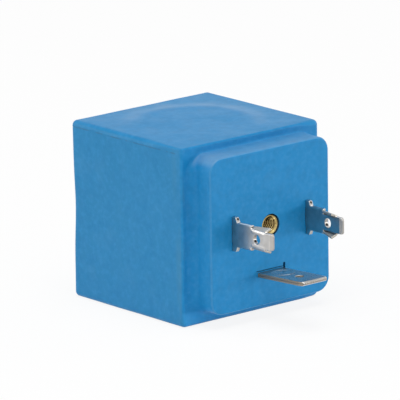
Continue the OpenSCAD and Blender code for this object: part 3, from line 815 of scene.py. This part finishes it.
def resin_blue(name):
    """Cast resin with small bubbles, whose pits are painted darker as shade."""
    paint = Paint(name, Specular_IOR_Level=0.5, Coat_Weight=0.15)
    colour = paint.blend(paint.mottle(6, 4), rgb(0.006, 0.11, 0.3), rgb(0.009, 0.15, 0.38))
    bubble = paint.add("TexVoronoi", Vector=paint.place, Scale=700.0).outputs["Distance"]
    pit = paint.fade(bubble, 0.16, 0.08)
    # Painted shade: the bubble pits are darker.
    paint.set("Base Color", paint.blend(paint.times(pit, 0.4), colour, rgb(0.004, 0.05, 0.16)))
    paint.set("Roughness", paint.mottle(3, 3, 2.0, 0.22, 0.42))
    paint.bump(paint.math("SUBTRACT", paint.noise(2.5, 2), pit), 0.08)
    return paint.material


def moulded(dark, light, rough=(0.4, 0.6)):
    """Plain moulded plastic or fibre with mottled colour and fine grain."""
    def make(name):
        paint = Paint(name, Specular_IOR_Level=0.4)
        paint.set("Base Color", paint.blend(paint.mottle(2.5, 4), rgb(*dark), rgb(*light)))
        paint.set("Roughness", paint.mottle(1.5, 3, 2.0, *rough))
        paint.bump(paint.noise(0.2, 3, shift=4.0), 0.015)
        return paint.material
    return make


def metal(dark, light, rough, stretch=(1, 1, 1), stain=None, depth=0.003, mark=None):
    """Metal with tarnish, tool marks and uneven polish. A mark changes its colour and roughness."""
    def make(name):
        paint = Paint(name, Metallic=1.0)
        colour = paint.blend(paint.mottle(1.8, 4), rgb(*dark), rgb(*light))
        if stain:
            spots = paint.fade(paint.noise(1.1, 5, shift=6.0, rough=0.7), 0.58, 0.76, 0.0, 0.6)
            colour = paint.blend(spots, colour, rgb(*stain))
        marks = paint.noise(0.35, 3, stretch=stretch, shift=1.0)
        roughness = paint.fade(marks, 0.25, 0.75, *rough)
        if mark:
            colour, roughness = mark(paint, colour, roughness)
        paint.set("Base Color", colour)
        paint.set("Roughness", roughness)
        paint.bump(marks, depth)
        return paint.material
    return make


def spot(paint, out, up, reach):
    """1 near a place on each line blade, given out from the pad and up from the plug's middle."""
    near = []
    for side, turn in LINE_TURN.items():
        away = paint.add("VectorMath", {"operation": "DISTANCE"})
        paint.plug(away.inputs[0], paint.place)
        paint.plug(away.inputs[1], Vector((side * (LINE_X - turn * out), FACE_Y - out, PLUG_Z + up)) * MM)
        near.append(paint.step(away.outputs["Value"], reach, reach * 0.6))
    return paint.math("MAXIMUM", *near)


def sheared(paint, axis, low, high):
    """1 on sheared edges and in holes, where the surface looks along an axis."""
    return paint.fade(paint.math("ABSOLUTE", paint.facing(axis)), low, high)


def line_marks(paint, colour, roughness):
    """Sheared ends, duller tips and lips, a rolled neck edge painted pale as a highlight, a dark spot at
    the ear, and painted shade in the hole.
    """
    y, z = paint.axis("Y"), paint.axis("Z")
    # Faces looking along the blade are painted dark grey-brown: bare sheared metal on the ends, and painted
    # shade on the walls of the hole.
    ends = paint.times(sheared(paint, "Y", 0.7, 0.95), 0.6)
    colour = paint.blend(ends, colour, rgb(0.3, 0.27, 0.23))
    bevel_y = FACE_Y - LINE_L + 0.75
    tip = paint.step(y, bevel_y, bevel_y - 0.1)
    colour = paint.blend(paint.times(tip, 0.5), colour, rgb(0.34, 0.325, 0.3))
    # Dark spots: one at each ear's shoulder, and one on each hole's wall as painted shade.
    ear = spot(paint, EAR_L + 0.25, 3.0, 0.34)
    hole = spot(paint, LINE_HOLE_AT - 0.75, -0.28, 0.39)
    colour = paint.blend(paint.math("MAXIMUM", ear, hole), colour, rgb(0.035, 0.032, 0.03))
    lip_y = FACE_Y - LIP_START
    past_neck = paint.step(y, lip_y, lip_y - 0.2)
    lips = paint.times(paint.step(paint.off(z, PLUG_Z + 0.25), 1.7, 1.9), past_neck)
    colour = paint.blend(paint.times(lips, 0.6), colour, rgb(0.36, 0.345, 0.3))
    outer = paint.step(paint.off(paint.axis("X"), 0), LINE_X + 0.05, LINE_X + 0.2)
    neck_y = FACE_Y - EAR_L - EAR_RUN
    on_neck = paint.math("SUBTRACT", paint.step(y, neck_y, neck_y - 0.6), past_neck)
    # Painted highlight: the neck's top edge is painted nearly white where it faces up.
    upper = paint.times(paint.fade(paint.facing("Z"), 0.4, 0.75), outer, on_neck)
    colour = paint.blend(paint.times(upper, 0.8), colour, rgb(0.95, 0.93, 0.9))
    return colour, rougher(paint, roughness, paint.math("ADD", lips, upper), 0.25)


def earth_marks(paint, colour, roughness):
    """Dull sheared sides and end."""
    sides = sheared(paint, "X", 0.35, 0.75)
    colour = paint.blend(paint.times(sides, 0.85), colour, rgb(0.27, 0.232, 0.18))
    ends = paint.times(sheared(paint, "Y", 0.6, 0.9), 0.75)
    colour = paint.blend(ends, colour, rgb(0.19, 0.16, 0.12))
    return colour, rougher(paint, roughness, sides, 0.3)


def thread_shade(paint, colour, roughness):
    """Darkens the roots of the insert's thread and its depth."""
    y, r = paint.axis("Y"), paint.radius(0, PLUG_Z)
    inside = paint.times(
        paint.step(r, MOUTH_R + 0.02, MOUTH_R - 0.05), paint.step(y, INSERT_FACE + 0.1, INSERT_FACE + 0.4))
    root = paint.times(paint.step(r, THREAD_R + 0.04, THREAD_R + 0.16), inside)
    deep = paint.times(paint.step(y, INSERT_FACE + 1.2, INSERT_FACE + 4), inside)
    colour = paint.blend(paint.times(deep, 0.75), colour, rgb(0.2, 0.11, 0.035))
    return paint.blend(root, colour, rgb(0.035, 0.013, 0.004)), roughness


def copper_wire(name):
    """Enamelled wire laid in close turns, painted darker in the valleys between turns as shade."""
    paint = Paint(name, Metallic=1.0, Coat_Weight=0.4, Coat_Roughness=0.2)
    wave = paint.add(
        "TexWave", {"bands_direction": "Z"}, Vector=paint.place, Scale=1000.0, Distortion=0.15)
    turns = wave.outputs["Fac"]
    # Painted shade: each turn darkens towards the valleys between turns.
    colour = paint.blend(turns, rgb(0.36, 0.1, 0.03), rgb(0.72, 0.28, 0.12))
    darker = paint.fade(paint.noise(3), 0.4, 0.7, 0, 0.4)
    paint.set("Base Color", paint.blend(darker, colour, rgb(0.5, 0.16, 0.06)))
    paint.set("Roughness", paint.fade(turns, 0, 1, 0.4, 0.25))
    paint.bump(turns, 0.1)
    return paint.material


def wrap(name):
    """Polyester tape with overlapping turns, each turn painted darker at its low side under the next one as
    shade.
    """
    paint = Paint(name, Specular_IOR_Level=0.5)
    wave = paint.add(
        "TexWave", {"bands_direction": "Z", "wave_profile": "SAW"},
        Vector=paint.place, Scale=40.0, Distortion=0.4)
    lap = wave.outputs["Fac"]
    # Painted shade: each lap darkens towards its low side, under the step of the next one.
    colour = paint.blend(lap, rgb(0.6, 0.44, 0.1), rgb(0.78, 0.6, 0.2))
    paint.set("Base Color", paint.blend(paint.noise(0.8, 4), colour, rgb(0.7, 0.55, 0.18)))
    paint.set("Roughness", paint.mottle(1.2, start=0.25, end=0.4))
    paint.bump(lap, 0.06)
    return paint.material


def sleeve_white(name):
    """Braided glass-fibre sleeving, painted darker in the hollows of the braid as shade."""
    paint = Paint(name, Sheen_Weight=0.2)
    weave = paint.add("TexVoronoi", Vector=paint.place, Scale=4500.0).outputs["Distance"]
    # Painted shade: darker towards the hollows between the fibres.
    colour = paint.blend(paint.fade(weave, 0.1, 0.6), rgb(0.85, 0.84, 0.78), rgb(0.6, 0.58, 0.5))
    paint.set("Base Color", colour)
    paint.set("Roughness", paint.fade(weave, 0.1, 0.6, 0.6, 0.8))
    paint.bump(weave, -0.05)
    return paint.material


PAINTS = {
    "casing_blue": casing_blue,
    "resin_blue": resin_blue,
    "spool_plastic": moulded((0.72, 0.68, 0.55), (0.82, 0.78, 0.67)),
    "copper_wire": copper_wire,
    "wrap": wrap,
    "yoke_steel": metal((0.5, 0.5, 0.5), (0.66, 0.66, 0.66), (0.3, 0.5), stretch=(1, 1, 0.1)),
    "bush_steel": metal((0.42, 0.42, 0.43), (0.55, 0.55, 0.56), (0.25, 0.42), stretch=(0.05, 0.05, 1)),
    "washer_fibre": moulded((0.3, 0.07, 0.04), (0.46, 0.13, 0.07), (0.6, 0.8)),
    "block_plastic": moulded((0.02, 0.02, 0.022), (0.045, 0.045, 0.05)),
    "tinned_blade": metal(
        (0.47, 0.457, 0.44), (0.58, 0.566, 0.548), (0.28, 0.34), depth=0.0002, mark=line_marks),
    "earth_blade": metal(
        (0.5, 0.49, 0.47), (0.62, 0.6, 0.58), (0.26, 0.34), stain=(0.42, 0.38, 0.34), depth=0.0003,
        mark=earth_marks),
    "rivet_steel": metal((0.5, 0.5, 0.51), (0.66, 0.66, 0.67), (0.25, 0.4)),
    "insert_brass": metal(
        (0.4, 0.3, 0.12), (0.6, 0.47, 0.2), (0.2, 0.3), stain=(0.26, 0.17, 0.06), depth=0.001,
        mark=thread_shade),
    "sleeve_white": sleeve_white,
    "solder": metal((0.55, 0.56, 0.58), (0.75, 0.76, 0.78), (0.2, 0.35), depth=0.02),
    "seal_rubber": moulded((0.012, 0.012, 0.012), (0.03, 0.03, 0.03), (0.5, 0.7)),
    "spring_steel": metal((0.28, 0.28, 0.3), (0.42, 0.42, 0.44), (0.25, 0.4)),
}

NODE_SLOTS = {
    "casing": "casing_blue",
    "resin_fill": "resin_blue",
    "bobbin": "spool_plastic",
    "winding": "copper_wire",
    "winding_tape": "wrap",
    "yoke_frame": "yoke_steel",
    "yoke_plate": "yoke_steel",
    "upper_flux_bush": "bush_steel",
    "lower_flux_bush": "bush_steel",
    "upper_washer": "washer_fibre",
    "lower_washer": "washer_fibre",
    "terminal_block": "block_plastic",
    "line_terminal_left": "tinned_blade",
    "line_terminal_right": "tinned_blade",
    "earth_terminal": "earth_blade",
    "earth_rivet": "rivet_steel",
    "thread_insert": "insert_brass",
    "start_lead": "copper_wire",
    "finish_lead": "copper_wire",
    "start_sleeve": "sleeve_white",
    "finish_sleeve": "sleeve_white",
    "solder_joints": "solder",
    "bore_seal": "seal_rubber",
    "retaining_ring": "spring_steel",
}


def dress(pieces):
    """Gives every CAD node and every new piece its material."""
    made = {slot: make(slot) for slot, make in PAINTS.items()}
    worn = [(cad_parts[node], slot) for node, slot in NODE_SLOTS.items()]
    worn += [(piece, piece["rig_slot"]) for piece in pieces]
    for target, slot in worn:
        target.data.materials.clear()
        target.data.materials.append(made[slot])


# Floor, world, lamps and camera: places and sizes in metres, power in watts
AIM = Vector((0, 0, 0.017))
WORLD_FILL = 0.37
FLOOR_SHADOW = 0.12
LAMPS = {
    "front_lamp": ((0.36, -0.93, 0.09), (1.0, 0.16), 3.2),
    "left_lamp": ((-0.98, 0.1, 0.2), (0.5, 0.3), 1.6),
    "right_lamp": ((0.98, -0.25, 0.15), (0.5, 0.3), 1.6),
    "back_lamp": ((-0.62, 0.76, 0.22), (0.5, 0.3), 1.6),
    "top_lamp": ((-0.1, -0.1, 0.95), (0.7, 0.7), 5.5),
}
CAMERA_AZIMUTH = math.radians(-40.37)
CAMERA_ELEVATION = math.radians(14.48)
CAMERA_ROLL = math.radians(-0.81)
CAMERA_AWAY = 1.0938
CAMERA_LENS = 527.0
CAMERA_SHIFT = (0.01025, 0.01984)


def seen_directly(tree):
    """1 for camera, mirror and glass rays, 0 for the light that falls on surfaces."""
    path = tree.nodes.new("ShaderNodeLightPath")
    total = path.outputs["Is Camera Ray"]
    for ray in ("Is Glossy Ray", "Is Transmission Ray"):
        step = tree.nodes.new("ShaderNodeMath")
        step.operation = "MAXIMUM"
        tree.links.new(total, step.inputs[0])
        tree.links.new(path.outputs[ray], step.inputs[1])
        total = step.outputs[0]
    return total


def make_world():
    """Soft light from all round, seen as white."""
    world = bpy.data.worlds.new("studio")
    bpy.context.scene.world = world
    world.use_nodes = True
    tree = world.node_tree
    tree.nodes.clear()
    soft, white = (tree.nodes.new("ShaderNodeBackground") for _ in range(2))
    soft.inputs["Color"].default_value = rgb(1, 1, 1)
    soft.inputs["Strength"].default_value = WORLD_FILL
    white.inputs["Color"].default_value = rgb(1, 1, 1)
    mix = tree.nodes.new("ShaderNodeMixShader")
    tree.links.new(seen_directly(tree), mix.inputs[0])
    tree.links.new(soft.outputs[0], mix.inputs[1])
    tree.links.new(white.outputs[0], mix.inputs[2])
    output = tree.nodes.new("ShaderNodeOutputWorld")
    tree.links.new(mix.outputs[0], output.inputs["Surface"])


def make_floor():
    """White floor that keeps a share of the object's shadow."""
    bm = bmesh.new()
    bmesh.ops.create_grid(bm, x_segments=8, y_segments=8, size=2.0)
    mesh = bpy.data.meshes.new("floor")
    bm.to_mesh(mesh)
    bm.free()
    floor = bpy.data.objects.new("floor", mesh)
    bpy.context.scene.collection.objects.link(floor)
    floor.location.z = -0.02 * MM
    material = bpy.data.materials.new("floor_white")
    material.use_nodes = True
    tree = material.node_tree
    tree.nodes.clear()
    diffuse = tree.nodes.new("ShaderNodeBsdfDiffuse")
    diffuse.inputs["Color"].default_value = rgb(0.95, 0.95, 0.95)
    glow = tree.nodes.new("ShaderNodeEmission")
    mix = tree.nodes.new("ShaderNodeMixShader")
    share = tree.nodes.new("ShaderNodeMath")
    share.operation = "MULTIPLY"
    tree.links.new(seen_directly(tree), share.inputs[0])
    share.inputs[1].default_value = 1 - FLOOR_SHADOW
    tree.links.new(share.outputs[0], mix.inputs[0])
    tree.links.new(diffuse.outputs[0], mix.inputs[1])
    tree.links.new(glow.outputs[0], mix.inputs[2])
    output = tree.nodes.new("ShaderNodeOutputMaterial")
    tree.links.new(mix.outputs[0], output.inputs["Surface"])
    mesh.materials.append(material)


def make_lamp(name, place, size, power):
    lamp = bpy.data.lights.new(name, "AREA")
    lamp.shape = "RECTANGLE"
    lamp.size, lamp.size_y = size
    lamp.energy = power
    holder = bpy.data.objects.new(name, lamp)
    bpy.context.scene.collection.objects.link(holder)
    holder.location = place
    holder.rotation_euler = (AIM - holder.location).to_track_quat("-Z", "Y").to_euler()


def make_camera():
    level = math.cos(CAMERA_ELEVATION)
    back = Vector((
        math.sin(CAMERA_AZIMUTH) * level, -math.cos(CAMERA_AZIMUTH) * level, math.sin(CAMERA_ELEVATION)))
    right = Vector((0, 0, 1)).cross(back).normalized()
    up = back.cross(right)
    turned_right = right * math.cos(CAMERA_ROLL) + up * math.sin(CAMERA_ROLL)
    turned_up = up * math.cos(CAMERA_ROLL) - right * math.sin(CAMERA_ROLL)
    turned = Matrix((turned_right, turned_up, back)).transposed().to_4x4()
    data = bpy.data.cameras.new("camera")
    data.sensor_width = 36.0
    data.lens = CAMERA_LENS
    data.shift_x, data.shift_y = CAMERA_SHIFT
    camera = bpy.data.objects.new("camera", data)
    bpy.context.scene.collection.objects.link(camera)
    camera.matrix_world = Matrix.Translation(AIM + back * CAMERA_AWAY) @ turned
    bpy.context.scene.camera = camera


dress([
    make_casing(),
    make_line_blade("line_blade_left", "line_terminal_left", -1),
    make_line_blade("line_blade_right", "line_terminal_right", 1),
    make_earth_blade(),
    make_insert()])
make_world()
make_floor()
for lamp_name, lamp_row in LAMPS.items():
    make_lamp(lamp_name, *lamp_row)
make_camera()
bpy.context.scene.view_settings.view_transform = "Standard"
